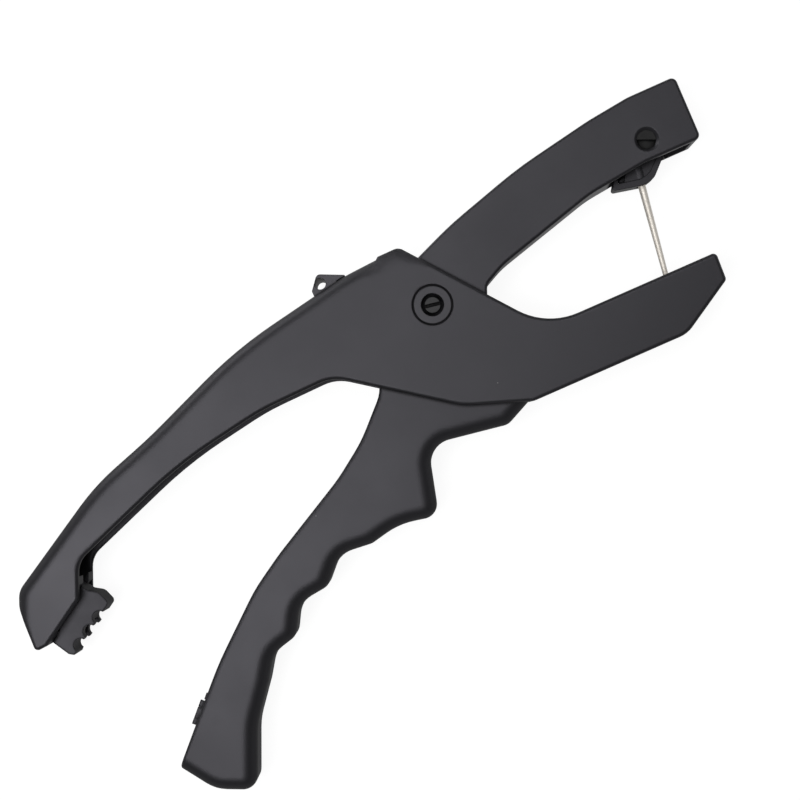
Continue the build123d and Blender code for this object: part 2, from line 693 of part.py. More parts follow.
def make_pin_carrier():
    """Shoe with a foot plate, a rising toe, a middle web, a pin boss and a knuckle."""
    shoe = rounded_face([
        (70.9, 11.2, 0.8),
        (73.1, 14.5, 0.3),
        (74.2, 13.9, 0.3),
        (73.5, 12.7, 0.3),
        (81.8, 11.0, 6.0),
        (85.0, 12.0, 3.0),
        (90.0, 16.4, 0.7),
        (91.1, 15.0, 0.7),
        (85.6, 9.7, 4.0),
        (81.6, 8.8, 6.0),
    ])
    web = rounded_face([
        (75.0, 11.0, 0.3),
        (AXLE_X - 5.0, AXLE_Y + 1.0, 1.0),
        (AXLE_X + 4.0, AXLE_Y + 2.0, 1.0),
        (90.0, 15.0, 0.3),
        (84.6, 10.6, 2.0),
        (81.0, 9.5, 2.0),
    ])
    low, high = knuckle_levels()
    body = slab(shoe, MID_Z - SHOE_WIDTH / 2, MID_Z + SHOE_WIDTH / 2)
    body += slab(web, low, low + CARRIER_WEB)
    body += pin_place() * disc(PIN_BOSS_D, PIN_BOSS_LOW, PIN_ROOT + PIN_ROOT_CAP)
    body += disc(KNUCKLE_D, low, high, AXLE_X, AXLE_Y)
    body -= disc(BUSH_D + 2 * PRESS_GAP, 0, FRAME_WIDTH, AXLE_X, AXLE_Y)
    body -= pin_place() * disc(PIN_ROOT_D + 2 * PRESS_GAP, -3 * OVERCUT, PIN_ROOT + PRESS_GAP)
    return body - pin_place() * grub_bar(GRUB_D + 2 * PRESS_GAP, 0, PIN_BOSS_D)


def make_tag_pin():
    """Root held in the boss, tapered stem and rounded point."""
    half = PIN_D / 2
    tip = PIN_TIP_D / 2
    profile = make_face(
        Polyline((0, PIN_ROOT), (PIN_ROOT_D / 2, PIN_ROOT), (PIN_ROOT_D / 2, 0), (half, 0),
                 (tip, PIN_POINT - PIN_REACH))
        + Spline((tip, PIN_POINT - PIN_REACH), (tip * 0.62, PIN_POINT * 0.35 - PIN_REACH), (0, -PIN_REACH))
        + Line((0, -PIN_REACH), (0, PIN_ROOT))
    )
    stem = revolve(Plane.XZ * profile, Axis.Z)
    return pin_place() * stem


def grub_bar(diameter, start, end):
    """Round bar out through the rear side of the boss, at the root of the pin."""
    return Pos(-(start + end) / 2, 0, GRUB_LEVEL) * Rot(0, 90, 0) * Cylinder(diameter / 2, end - start)


def make_pin_grub_screw():
    """Grub screw that holds the tag pin."""
    return pin_place() * grub_bar(GRUB_D, PIN_ROOT_D / 2 + PRESS_GAP, PIN_BOSS_D / 2 - GRUB_SINK)


def make_carrier_spring():
    """Spring on the axle that swings the carrier back, from the head roof to the foot plate."""
    radius = AXLE_D / 2 + CARRIER_SLACK + CARRIER_WIRE / 2
    spring = torsion_spring(radius, CARRIER_WIRE, CARRIER_PITCH, HEAD_LEG_TURN, SHOE_LEG_TURN,
                            CARRIER_TURNS, HEAD_LEG, SHOE_LEG)
    return Pos(AXLE_X, AXLE_Y, knuckle_levels()[0] - CARRIER_DROP) * spring


# Tag clip: a forked leaf riveted to the floor of the lower jaw
def make_tag_clip():
    """Leaf lying on the jaw floor that rises to two prongs beside the pin slot."""
    floor = LOWER_JAW_BOTTOM + FRAME_WALL
    under = [(CLIP_REAR, floor), (CLIP_BEND, floor), (CLIP_LIFT, CLIP_SEAT), (CLIP_FRONT, CLIP_SEAT)]
    over = [(x - 0.4 * CLIP_LEAF, y + CLIP_LEAF) for x, y in under[1:3]]
    ring = under + [(CLIP_FRONT, CLIP_SEAT + CLIP_LEAF)] + over[::-1] + [(CLIP_REAR, floor + CLIP_LEAF)]
    leaf = make_face(Polyline(*ring, close=True))
    body = slab(leaf, MID_Z - CLIP_WIDTH / 2, MID_Z + CLIP_WIDTH / 2)
    length = CLIP_FRONT - CLIP_BEND + OVERCUT
    body -= Pos(CLIP_BEND + length / 2, 0, MID_Z) * Box(length, ACROSS, CLIP_WIDTH - 2 * CLIP_PRONG)
    return body - rivet_bar(RIVET_D + 2 * PRESS_GAP, floor - OVERCUT, floor + CLIP_LEAF + OVERCUT)


def rivet_bar(diameter, low, high):
    """Round bar along Y at the rivet."""
    return Pos(RIVET_X, (low + high) / 2, MID_Z) * Rot(90, 0, 0) * Cylinder(diameter / 2, high - low)


def make_clip_rivet():
    """Rivet through the leaf and the jaw floor, flush outside."""
    top = LOWER_JAW_BOTTOM + FRAME_WALL + CLIP_LEAF
    shank = rivet_bar(RIVET_D, LOWER_JAW_BOTTOM + RIVET_SINK, top + RIVET_HEAD / 2)
    return shank + rivet_bar(RIVET_HEAD_D, top, top + RIVET_HEAD)


NODES = {
    "frame": make_frame,
    "lanyard_eye": make_lanyard_eye,
    "pivot_pin": make_pivot_pin,
    "pivot_cap_front": make_front_cap,
    "pivot_cap_rear": make_rear_cap,
    "pivot_screw": make_pivot_screw,
    "return_spring": make_return_spring,
    "tag_clip": make_tag_clip,
    "clip_rivet": make_clip_rivet,
    "latch_slider": make_latch_slider,
    "lever": make_lever,
    "lever_bearing": make_lever_bearing,
    "latch_catch": make_latch_catch,
    "carrier_axle": make_carrier_axle,
    "axle_clips": make_axle_clips,
    "pin_carrier": make_pin_carrier,
    "carrier_bush": make_carrier_bush,
    "tag_pin": make_tag_pin,
    "pin_grub_screw": make_pin_grub_screw,
    "carrier_spring": make_carrier_spring,
}

os.makedirs("parts", exist_ok=True)
for name, make in NODES.items():
    export_step(make(), f"parts/{name}.step")
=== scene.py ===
from math import cos, pi, radians, sin
import bmesh
import bpy
from mathutils import Matrix, Vector


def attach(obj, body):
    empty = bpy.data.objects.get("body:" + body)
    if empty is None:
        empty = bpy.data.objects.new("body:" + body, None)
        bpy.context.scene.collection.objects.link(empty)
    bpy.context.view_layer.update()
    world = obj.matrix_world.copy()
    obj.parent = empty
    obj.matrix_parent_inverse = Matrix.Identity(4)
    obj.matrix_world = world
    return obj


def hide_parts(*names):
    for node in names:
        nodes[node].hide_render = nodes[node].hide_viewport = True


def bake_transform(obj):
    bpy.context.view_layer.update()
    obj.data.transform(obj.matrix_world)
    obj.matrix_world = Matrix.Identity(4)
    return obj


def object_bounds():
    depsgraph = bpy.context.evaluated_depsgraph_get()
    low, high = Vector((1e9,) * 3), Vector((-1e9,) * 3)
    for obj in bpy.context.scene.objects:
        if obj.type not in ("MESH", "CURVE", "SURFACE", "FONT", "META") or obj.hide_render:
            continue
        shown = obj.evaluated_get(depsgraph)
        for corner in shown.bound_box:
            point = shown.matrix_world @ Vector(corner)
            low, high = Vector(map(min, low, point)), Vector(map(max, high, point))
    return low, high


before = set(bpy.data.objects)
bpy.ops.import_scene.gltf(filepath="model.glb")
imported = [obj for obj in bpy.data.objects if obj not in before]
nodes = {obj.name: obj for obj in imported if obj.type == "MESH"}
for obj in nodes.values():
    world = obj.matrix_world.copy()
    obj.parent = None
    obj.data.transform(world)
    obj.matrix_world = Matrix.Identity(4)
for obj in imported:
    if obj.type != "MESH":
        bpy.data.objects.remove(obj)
cad_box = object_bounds()


# Frame: rear handle, body and lower jaw, one moulding in black glass-filled nylon.
# The mould is spark-eroded, which leaves a fine matt grain on every outer face.
# Its edges come off the mould a little soft, and hands rub them smoother.
FRAME_DARK = (0.0105, 0.0105, 0.0118, 1.0)
FRAME_LIGHT = (0.0145, 0.0145, 0.0162, 1.0)
FRAME_PATCHES = 16.0
FRAME_DUST = 0.12
COOL_SHEEN = (0.93, 0.91, 1.0, 1.0)
GRAIN_SCALE = 2400.0
GRAIN_PITS = 0.5
CLOUD_RANGE = (0.3, 0.7)
GLOSS_SPREAD = 0.04
DUST = (0.16, 0.16, 0.155, 1.0)
DUST_SHARE = 0.8
DUST_SCALE = 110.0
DUST_SIZE = (0.012, 0.03)
EDGE_RADIUS = 0.0004
EDGE_TURN = (0.995, 0.8)
RUBBED = (0.03, 0.03, 0.032, 1.0)
RUBBED_SHARE = 0.3
# Narrow hollows get painted shade: black colour and dull roughness where ambient occlusion finds them closed
# in.
HOLLOW_REACH = 0.0025
HOLLOW_RANGE = (0.3, 0.75)
HOLLOW_PAINTED_SHADE = (0.002, 0.002, 0.0021, 1.0)
HOLLOW_ROUGH = 1.0
NEAR_FACE = cad_box[1][2]
NOSE_SOFT = {"centre": (-0.0068, 0.0215, NEAR_FACE), "full_at": 0.007, "gone_at": 0.016, "radius": 0.006}
PALM_SOFT = {"centre": (0.0242, -0.3028, NEAR_FACE), "full_at": 0.3205, "gone_at": 0.316, "radius": 0.0024}


def feed(tree, socket, value):
    """Links a socket to another one, or sets it to a plain value."""
    if hasattr(value, "is_linked"):
        tree.links.new(value, socket)
    else:
        socket.default_value = value


def add(tree, kind, **values):
    """New node, with its inputs set by socket name and its settings by attribute name."""
    node = tree.nodes.new(kind)
    for name, value in values.items():
        label = name.title()
        if label in node.inputs:
            feed(tree, node.inputs[label], value)
        else:
            setattr(node, name, value)
    return node


def calculate(tree, operation, first, second):
    """Result of a Math node on two sockets or numbers."""
    node = tree.nodes.new("ShaderNodeMath")
    node.operation = operation
    feed(tree, node.inputs[0], first)
    feed(tree, node.inputs[1], second)
    return node.outputs[0]


def measure(tree, operation, first, second):
    """Number that a Vector Math node gives for two directions or places."""
    node = tree.nodes.new("ShaderNodeVectorMath")
    node.operation = operation
    feed(tree, node.inputs[0], first)
    feed(tree, node.inputs[1], second)
    return node.outputs["Value"]


def mixed(tree, share, first, second):
    """Colour between two colours, each a socket or a list."""
    node = tree.nodes.new("ShaderNodeMix")
    node.data_type = "RGBA"
    given = {socket.identifier: socket for socket in node.inputs}
    result = {socket.identifier: socket for socket in node.outputs}
    feed(tree, given["Factor_Float"], share)
    feed(tree, given["A_Color"], first)
    feed(tree, given["B_Color"], second)
    return result["Result_Color"]


def span(tree, value, low, high, to_low, to_high):
    """Value moved from one range to another, and held inside it."""
    node = tree.nodes.new("ShaderNodeMapRange")
    for socket, number in zip(node.inputs, (value, low, high, to_low, to_high)):
        feed(tree, socket, number)
    return node.outputs[0]


def new_group(name, inputs, outputs):
    """Empty shader group with plain number inputs."""
    group = bpy.data.node_groups.new(name, "ShaderNodeTree")
    for label, start in inputs.items():
        socket = group.interface.new_socket(label, in_out="INPUT", socket_type="NodeSocketFloat")
        socket.default_value = start
    for label, kind in outputs.items():
        group.interface.new_socket(label, in_out="OUTPUT", socket_type=kind)
    return group, group.nodes.new("NodeGroupInput").outputs, group.nodes.new("NodeGroupOutput").inputs


def make_moulded_grain():
    """Fine eroded grain, slow changes of tone over a face, and stray specks of dust."""
    plain = "NodeSocketFloat"
    group, given, result = new_group(
        "moulded_grain",
        {"Grain": GRAIN_SCALE, "Patches": FRAME_PATCHES, "Dust": FRAME_DUST},
        {"Height": plain, "Tone": plain, "Specks": plain},
    )
    spot = add(group, "ShaderNodeTexCoord").outputs["Object"]
    fine = add(group, "ShaderNodeTexNoise", vector=spot, scale=given["Grain"], detail=3.0, roughness=0.6)
    pits = add(group, "ShaderNodeTexVoronoi", vector=spot, scale=given["Grain"], randomness=1.0)
    pitted = calculate(group, "MULTIPLY", pits.outputs["Distance"], GRAIN_PITS)
    group.links.new(calculate(group, "ADD", fine.outputs["Fac"], pitted), result["Height"])
    broad = add(group, "ShaderNodeTexNoise", vector=spot, scale=given["Patches"], detail=4.0, roughness=0.55)
    group.links.new(span(group, broad.outputs["Fac"], *CLOUD_RANGE, 0.0, 1.0), result["Tone"])
    dust = add(group, "ShaderNodeTexVoronoi", vector=spot, scale=DUST_SCALE, randomness=1.0)
    small = span(group, dust.outputs["Distance"], *DUST_SIZE, 1.0, 0.0)
    pick = add(group, "ShaderNodeSeparateColor", color=dust.outputs["Color"]).outputs["Red"]
    chosen = calculate(group, "LESS_THAN", pick, given["Dust"])
    group.links.new(calculate(group, "MULTIPLY", small, chosen), result["Specks"])
    return group


def make_soft_edge():
    """Normal rounded over the corners, and a mask that is bright along them."""
    group, given, result = new_group(
        "soft_edge",
        {"Radius": EDGE_RADIUS},
        {"Normal": "NodeSocketVector", "Edge": "NodeSocketFloat"},
    )
    rounded = add(group, "ShaderNodeBevel", samples=6, radius=given["Radius"]).outputs["Normal"]
    flat = add(group, "ShaderNodeNewGeometry").outputs["Normal"]
    turned = measure(group, "DOT_PRODUCT", rounded, flat)
    group.links.new(rounded, result["Normal"])
    group.links.new(span(group, turned, *EDGE_TURN, 0.0, 1.0), result["Edge"])
    return group


def make_painted_hollow_shade():
    """Mask that is bright in narrow hollows, where shade is painted into the colour."""
    group, given, result = new_group("painted_hollow_shade", {"Reach": HOLLOW_REACH}, {"Hollow": "NodeSocketFloat"})
    open_sky = add(group, "ShaderNodeAmbientOcclusion", samples=8, distance=given["Reach"]).outputs["AO"]
    group.links.new(span(group, open_sky, *HOLLOW_RANGE, 1.0, 0.0), result["Hollow"])
    return group


def use_group(tree, group, **values):
    """Group placed in a material, with its own numbers."""
    node = tree.nodes.new("ShaderNodeGroup")
    node.node_tree = group
    for name, value in values.items():
        feed(tree, node.inputs[name.title()], value)
    return node.outputs


def new_material(name):
    """Empty material, its tree and its shader."""
    material = bpy.data.materials.new(name)
    material.use_nodes = True
    return material, material.node_tree, material.node_tree.nodes["Principled BSDF"]


def dress(material, *names):
    """Gives CAD nodes their finish."""
    for name in names:
        nodes[name].data.materials.clear()
        nodes[name].data.materials.append(material)


def soft_radius(tree, edge_radius, soft_zones):
    """Radius of the edges, larger in zones round a centre where the edge is rounder."""
    widest = edge_radius
    for zone in soft_zones:
        spot = add(tree, "ShaderNodeTexCoord").outputs["Object"]
        away = measure(tree, "DISTANCE", spot, zone["centre"])
        here = span(tree, away, zone["full_at"], zone["gone_at"], zone["radius"], edge_radius)
        widest = calculate(tree, "MAXIMUM", widest, here)
    return widest


moulded_grain = make_moulded_grain()
soft_edge = make_soft_edge()
painted_hollow_shade = make_painted_hollow_shade()


def paint_shade_in_hollows(tree, shader, colour, gloss, rough):
    """Colour and roughness of a finish, with painted shade: black and dull in its narrow hollows."""
    hollow = use_group(tree, painted_hollow_shade)["Hollow"]
    tree.links.new(mixed(tree, hollow, colour, HOLLOW_PAINTED_SHADE), shader.inputs["Base Color"])
    dull = calculate(tree, "MULTIPLY", hollow, HOLLOW_ROUGH - rough)
    tree.links.new(calculate(tree, "ADD", gloss, dull), shader.inputs["Roughness"])


def make_nylon(name, dark, light, rough, patches, dust, depth, edge_radius=EDGE_RADIUS, soft_zones=()):
    """Matt moulded plastic between two tones, with rubbed edges, specks of dust and painted shade in its
    hollows.
    """
    material, tree, shader = new_material(name)
    shader.inputs["Specular Tint"].default_value = COOL_SHEEN
    skin = use_group(tree, moulded_grain, patches=patches, dust=dust)
    edge = use_group(tree, soft_edge, radius=soft_radius(tree, edge_radius, soft_zones))
    tone = mixed(tree, skin["Tone"], dark, light)
    rubbed = mixed(tree, calculate(tree, "MULTIPLY", edge["Edge"], RUBBED_SHARE), tone, RUBBED)
    dusty = mixed(tree, calculate(tree, "MULTIPLY", skin["Specks"], DUST_SHARE), rubbed, DUST)
    gloss = span(tree, skin["Tone"], 0.0, 1.0, rough + GLOSS_SPREAD, rough - GLOSS_SPREAD)
    paint_shade_in_hollows(tree, shader, dusty, gloss, rough)
    bump = add(tree, "ShaderNodeBump", strength=0.25, distance=depth, height=skin["Height"],
               normal=edge["Normal"])
    tree.links.new(bump.outputs["Normal"], shader.inputs["Normal"])
    return material


frame_nylon = make_nylon("frame_nylon", FRAME_DARK, FRAME_LIGHT, rough=0.42, patches=FRAME_PATCHES,
                         dust=FRAME_DUST, depth=0.00003, soft_zones=(NOSE_SOFT, PALM_SOFT))
dress(frame_nylon, "frame")


# Lanyard eye: a small moulded fin in the same nylon, pushed through a slot in the roof.
# It fills a small mould, so it is a little smoother and darker than the frame.
EYE_DARK = (0.0095, 0.0095, 0.0105, 1.0)
EYE_LIGHT = (0.013, 0.013, 0.0145, 1.0)
eye_nylon = make_nylon("eye_nylon", EYE_DARK, EYE_LIGHT, rough=0.38, patches=60.0, dust=0.05, depth=0.00002)
dress(eye_nylon, "lanyard_eye")


# Tag clip and its rivet: a forked leaf of spring steel, stamped and tempered straw-brown.
# The rivet is plain bright steel, peened over the leaf from above.
LEAF_STEEL = (0.3, 0.3, 0.32, 1.0)
LEAF_TINT = (0.36, 0.32, 0.26, 1.0)
LEAF_LINES = (60.0, 60.0, 3000.0)
BRIGHT_STEEL = (0.62, 0.61, 0.59, 1.0)
BRIGHT_TINT = (0.54, 0.53, 0.52, 1.0)
RIVET_LINES = (900.0, 900.0, 900.0)
# Sharp steel edges get a painted highlight: their colour is mixed towards one fixed grey.
STEEL_EDGE_HIGHLIGHT = (0.6, 0.6, 0.6, 1.0)
STEEL_EDGE_RADIUS = 0.00025
STEEL_EDGE_SHARE = 0.5
TINT_SCALE = 90.0
STREAK_SMOOTHER = 0.06
STREAK_DULLER = 0.08


def make_drawn_steel(name, colour, tint, rough, lines):
    """Metal with fine lines drawn along it, a thin change of tint and a painted highlight on its edges."""
    material, tree, shader = new_material(name)
    shader.inputs["Metallic"].default_value = 1.0
    edge = use_group(tree, soft_edge, radius=STEEL_EDGE_RADIUS)
    spot = add(tree, "ShaderNodeTexCoord").outputs["Object"]
    drawn = add(tree, "ShaderNodeMapping", vector=spot, scale=lines)
    streak = add(tree, "ShaderNodeTexNoise", vector=drawn.outputs["Vector"], scale=1.0, detail=3.0)
    cloud = add(tree, "ShaderNodeTexNoise", vector=spot, scale=TINT_SCALE, detail=3.0)
    shade = mixed(tree, cloud.outputs["Fac"], colour, tint)
    # Painted highlight along the edges.
    painted_edge_highlight = mixed(tree, calculate(tree, "MULTIPLY", edge["Edge"], STEEL_EDGE_SHARE), shade, STEEL_EDGE_HIGHLIGHT)
    tree.links.new(painted_edge_highlight, shader.inputs["Base Color"])
    gloss = span(tree, streak.outputs["Fac"], *CLOUD_RANGE, rough - STREAK_SMOOTHER, rough + STREAK_DULLER)
    tree.links.new(gloss, shader.inputs["Roughness"])
    bump = add(tree, "ShaderNodeBump", strength=0.2, distance=0.00001, height=streak.outputs["Fac"],
               normal=edge["Normal"])
    tree.links.new(bump.outputs["Normal"], shader.inputs["Normal"])
    return material


dress(make_drawn_steel("leaf_steel", LEAF_STEEL, LEAF_TINT, rough=0.34, lines=LEAF_LINES), "tag_clip")
dress(make_drawn_steel("rivet_steel", BRIGHT_STEEL, BRIGHT_TINT, rough=0.3, lines=RIVET_LINES), "clip_rivet")


# Lever: trigger with finger grooves, hub and upper jaw, the second nylon moulding.
# It comes from another mould, with the same grain and a slightly darker shade.
# The edges of its grip are rounder than its other edges.
LEVER_DARK = (0.0095, 0.0095, 0.0108, 1.0)
LEVER_LIGHT = (0.0135, 0.0135, 0.0152, 1.0)
GRIP_SOFT = {"centre": (-0.06, -0.075, NEAR_FACE), "full_at": 0.065, "gone_at": 0.09, "radius": 0.0022}
lever_nylon = make_nylon("lever_nylon", LEVER_DARK, LEVER_LIGHT, rough=0.42, patches=20.0, dust=0.1,
                         depth=0.00003, soft_zones=(GRIP_SOFT,))
dress(lever_nylon, "lever")


# Bearing in the hub and bush of the carrier: sintered bronze sleeves, soaked in oil.
# The pores show as fine dark pits on a dull brown-gold skin.
BRONZE = (0.42, 0.27, 0.12, 1.0)
BRONZE_ROUGH = 0.38
PORE = (0.06, 0.04, 0.025, 1.0)
PORE_ROUGH = 0.7
PORE_SCALE = 2600.0
PORE_SIZE = (0.12, 0.32)


def make_bronze():
    """Sintered bronze with open pores."""
    material, tree, shader = new_material("sintered_bronze")
    shader.inputs["Metallic"].default_value = 1.0
    spot = add(tree, "ShaderNodeTexCoord").outputs["Object"]
    pores = add(tree, "ShaderNodeTexVoronoi", vector=spot, scale=PORE_SCALE, randomness=1.0)
    open_pore = span(tree, pores.outputs["Distance"], *PORE_SIZE, 1.0, 0.0)
    tree.links.new(mixed(tree, open_pore, BRONZE, PORE), shader.inputs["Base Color"])
    tree.links.new(span(tree, open_pore, 0.0, 1.0, BRONZE_ROUGH, PORE_ROUGH), shader.inputs["Roughness"])
    bump = add(tree, "ShaderNodeBump", strength=0.3, distance=0.00003, height=pores.outputs["Distance"])
    tree.links.new(bump.outputs["Normal"], shader.inputs["Normal"])
    return material


dress(make_bronze(), "lever_bearing", "carrier_bush")


# Pivot: a ground steel pin between two acetal caps, drawn together by one slotted screw.
# The caps are turned, so they are smoother than the mouldings, and the screw is blackened.
CAP_DARK = (0.0105, 0.0105, 0.0115, 1.0)
CAP_LIGHT = (0.014, 0.014, 0.0152, 1.0)
SCREW_DARK = (0.0215, 0.0215, 0.0225, 1.0)
SCREW_LIGHT = (0.0301, 0.0301, 0.0315, 1.0)
SCREW_WORN = (0.12, 0.12, 0.12, 1.0)
PIVOT_LINES = (700.0, 700.0, 60.0)
COAT_METAL = 0.6
COAT_SCALE = 420.0
COAT_EDGE_RADIUS = 0.0002
COAT_WORN_SHARE = 0.45
COAT_SMOOTHER = 0.05
COAT_DULLER = 0.06


def make_blackened(name, dark, light, worn, rough):
    """Oil-blackened steel, rubbed brighter on its edges, with painted shade in its hollows."""
    material, tree, shader = new_material(name)
    shader.inputs["Metallic"].default_value = COAT_METAL
    edge = use_group(tree, soft_edge, radius=COAT_EDGE_RADIUS)
    spot = add(tree, "ShaderNodeTexCoord").outputs["Object"]
    cloud = add(tree, "ShaderNodeTexNoise", vector=spot, scale=COAT_SCALE, detail=4.0)
    coat = mixed(tree, cloud.outputs["Fac"], dark, light)
    rubbed = mixed(tree, calculate(tree, "MULTIPLY", edge["Edge"], COAT_WORN_SHARE), coat, worn)
    gloss = span(tree, cloud.outputs["Fac"], *CLOUD_RANGE, rough - COAT_SMOOTHER, rough + COAT_DULLER)
    paint_shade_in_hollows(tree, shader, rubbed, gloss, rough)
    tree.links.new(edge["Normal"], shader.inputs["Normal"])
    return material


cap_acetal = make_nylon("cap_acetal", CAP_DARK, CAP_LIGHT, rough=0.38, patches=90.0, dust=0.0, depth=0.00001)
dress(cap_acetal, "pivot_cap_front", "pivot_cap_rear")
dress(make_blackened("blackened_screw", SCREW_DARK, SCREW_LIGHT, SCREW_WORN, rough=0.46), "pivot_screw")
dress(make_drawn_steel("ground_pin", BRIGHT_STEEL, BRIGHT_TINT, rough=0.24, lines=PIVOT_LINES), "pivot_pin")


# Springs: torsion coils of patented wire, one round the hub and one on the carrier axle.
# The wire is drawn, so it keeps a dull grey skin with lines along it.
# Each leg pushes on another body.
WIRE_STEEL = (0.34, 0.34, 0.35, 1.0)
WIRE_TINT = (0.27, 0.26, 0.25, 1.0)
WIRE_LINES = (1600.0, 1600.0, 1600.0)
TURN_STEPS = 40
spring_wire = make_drawn_steel("spring_wire", WIRE_STEEL, WIRE_TINT, rough=0.36, lines=WIRE_LINES)


def wind_spring(name, foot, radius, wire, pitch, first_angle, turns, legs):
    """Wire wound clockwise going up from its foot, with a straight leg at each end."""
    slope = pitch / (2 * pi * radius)
    route = []
    ends = []
    steps = round(turns * TURN_STEPS)
    for i in range(steps + 1):
        wound = turns * i / steps
        angle = first_angle - 2 * pi * wound
        route.append(foot + Vector((radius * cos(angle), radius * sin(angle), pitch * wound)))
        ends.append(Vector((sin(angle), -cos(angle), slope)).normalized())
    route.insert(0, route[0] - ends[0] * legs[0])
    route.append(route[-1] + ends[-1] * legs[1])
    path = bpy.data.curves.new(name + "_path", "CURVE")
    path.dimensions = "3D"
    path.bevel_depth = wire / 2
    path.bevel_resolution = 3
    path.use_fill_caps = True
    line = path.splines.new("POLY")
    line.points.add(len(route) - 1)
    for point, place in zip(line.points, route):
        point.co = (*place, 1.0)
    former = bpy.data.objects.new(name + "_former", path)
    spring = bpy.data.objects.new(name, bpy.data.meshes.new_from_object(former))
    bpy.data.objects.remove(former)
    spring.data.shade_smooth()
    spring.data.materials.clear()
    spring.data.materials.append(spring_wire)
    bpy.context.collection.objects.link(spring)
    return spring


RETURN_WIRE = 0.0018
RETURN_PITCH = 0.0021
RETURN_RADIUS = 0.0099
RETURN_FOOT = Vector((0.0, 0.0, 0.008378))
RETURN_START = radians(72.8)
RETURN_TURNS = 3 + 112.8 / 360
RETURN_LEGS = (0.026, 0.05)
hub_coil = wind_spring("hub_coil", RETURN_FOOT, RETURN_RADIUS, RETURN_WIRE, RETURN_PITCH,
                       RETURN_START, RETURN_TURNS, RETURN_LEGS)
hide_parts("return_spring")
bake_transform(hub_coil)

CARRIER_WIRE = 0.0008
CARRIER_PITCH = 0.00085
CARRIER_RADIUS = 0.0039
CARRIER_FOOT = Vector((0.0873, 0.0219, 0.0096))
CARRIER_START = radians(10.0)
CARRIER_TURNS = 2 + 4 / 360
CARRIER_LEGS = (0.0113, 0.008)
shoe_coil = wind_spring("shoe_coil", CARRIER_FOOT, CARRIER_RADIUS, CARRIER_WIRE, CARRIER_PITCH,
                        CARRIER_START, CARRIER_TURNS, CARRIER_LEGS)
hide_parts("carrier_spring")
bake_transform(shoe_coil)


# Carrier axle and its rings: a blackened cross pin with a flat at its near end.
# Two open spring rings sit in its grooves inside the head.
# Its colours are far darker than the screw's blackening: painted shade of the recess that its end sits sunk
# in.
AXLE_SHADED_DARK = (0.003, 0.003, 0.0032, 1.0)
AXLE_SHADED_LIGHT = (0.0042, 0.0042, 0.00448, 1.0)
AXLE_WORN = (0.05, 0.05, 0.05, 1.0)
RING_LINES = (1200.0, 1200.0, 1200.0)
dress(make_blackened("blackened_axle_painted_shade", AXLE_SHADED_DARK, AXLE_SHADED_LIGHT, AXLE_WORN, rough=0.34), "carrier_axle")
dress(make_drawn_steel("ring_steel", LEAF_STEEL, LEAF_TINT, rough=0.32, lines=RING_LINES), "axle_clips")


# Pin carrier: a small nylon shoe that swings under the head, with the pin in its boss.
# It is darker and duller than the big mouldings. A blackened grub screw holds the pin.
SHOE_DARK = (0.005, 0.005, 0.0056, 1.0)
SHOE_LIGHT = (0.0075, 0.0075, 0.0083, 1.0)
GRUB_DARK = (0.02, 0.02, 0.021, 1.0)
GRUB_LIGHT = (0.028, 0.028, 0.0294, 1.0)
GRUB_WORN = (0.1, 0.1, 0.1, 1.0)
shoe_nylon = make_nylon("shoe_nylon", SHOE_DARK, SHOE_LIGHT, rough=0.48, patches=80.0, dust=0.04,
                        depth=0.00002)
dress(shoe_nylon, "pin_carrier")
dress(make_blackened("blackened_grub", GRUB_DARK, GRUB_LIGHT, GRUB_WORN, rough=0.4), "pin_grub_screw")


# Heel buffer: a small moulded acetal pad with the shoe's dull skin, pushed in behind its heel.
# It fills the corner by the web, and takes the knock when the spring brings the shoe back.
BUFFER_OUTLINE = ((0.0741, 0.01275), (0.0745, 0.0137), (0.0767, 0.0144), (0.0770, 0.0121))
BUFFER_LOW = 0.0121
BUFFER_HIGH = 0.0145
BUFFER_ROUND = 0.0003


def make_heel_buffer():
    """Pad raised from its outline, with rounded corners."""
    pad = bmesh.new()
    foot = pad.faces.new([pad.verts.new((x, y, BUFFER_LOW)) for x, y in BUFFER_OUTLINE])
    raised = bmesh.ops.extrude_face_region(pad, geom=[foot])["geom"]
    risen = [part for part in raised if isinstance(part, bmesh.types.BMVert)]
    bmesh.ops.translate(pad, verts=risen, vec=(0.0, 0.0, BUFFER_HIGH - BUFFER_LOW))
    bmesh.ops.recalc_face_normals(pad, faces=pad.faces)
    bmesh.ops.bevel(pad, geom=pad.edges[:], offset=BUFFER_ROUND, segments=3, profile=0.5, affect="EDGES")
    mesh = bpy.data.meshes.new("heel_buffer")
    pad.to_mesh(mesh)
    pad.free()
    mesh.shade_smooth()
    mesh.materials.append(shoe_nylon)
    buffer = bpy.data.objects.new("heel_buffer", mesh)
    bpy.context.collection.objects.link(buffer)
    return buffer


heel_buffer = make_heel_buffer()
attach(heel_buffer, "carrier")


# Tag pin: a tapered pin in ground stainless steel, with a satin skin.
# Grinding leaves faint rings round it, too fine to count.
PIN_STEEL = (0.96, 0.92, 0.86, 1.0)
PIN_TINT = (0.9, 0.85, 0.78, 1.0)
PIN_LINES = (90.0, 2600.0, 90.0)
dress(make_drawn_steel("pin_steel", PIN_STEEL, PIN_TINT, rough=0.62, lines=PIN_LINES), "tag_pin")


# Latch: a scalloped acetal slider on the rails of the handle, and the hook piece on the trigger.
# Both are moulded, duller than the frame and with softer edges.
LATCH_DARK = (0.008, 0.008, 0.009, 1.0)
LATCH_LIGHT = (0.0115, 0.0115, 0.0128, 1.0)
latch_acetal = make_nylon("latch_acetal", LATCH_DARK, LATCH_LIGHT, rough=0.5, patches=70.0, dust=0.08,
                          depth=0.00002, edge_radius=0.001)
dress(latch_acetal, "latch_slider", "latch_catch")


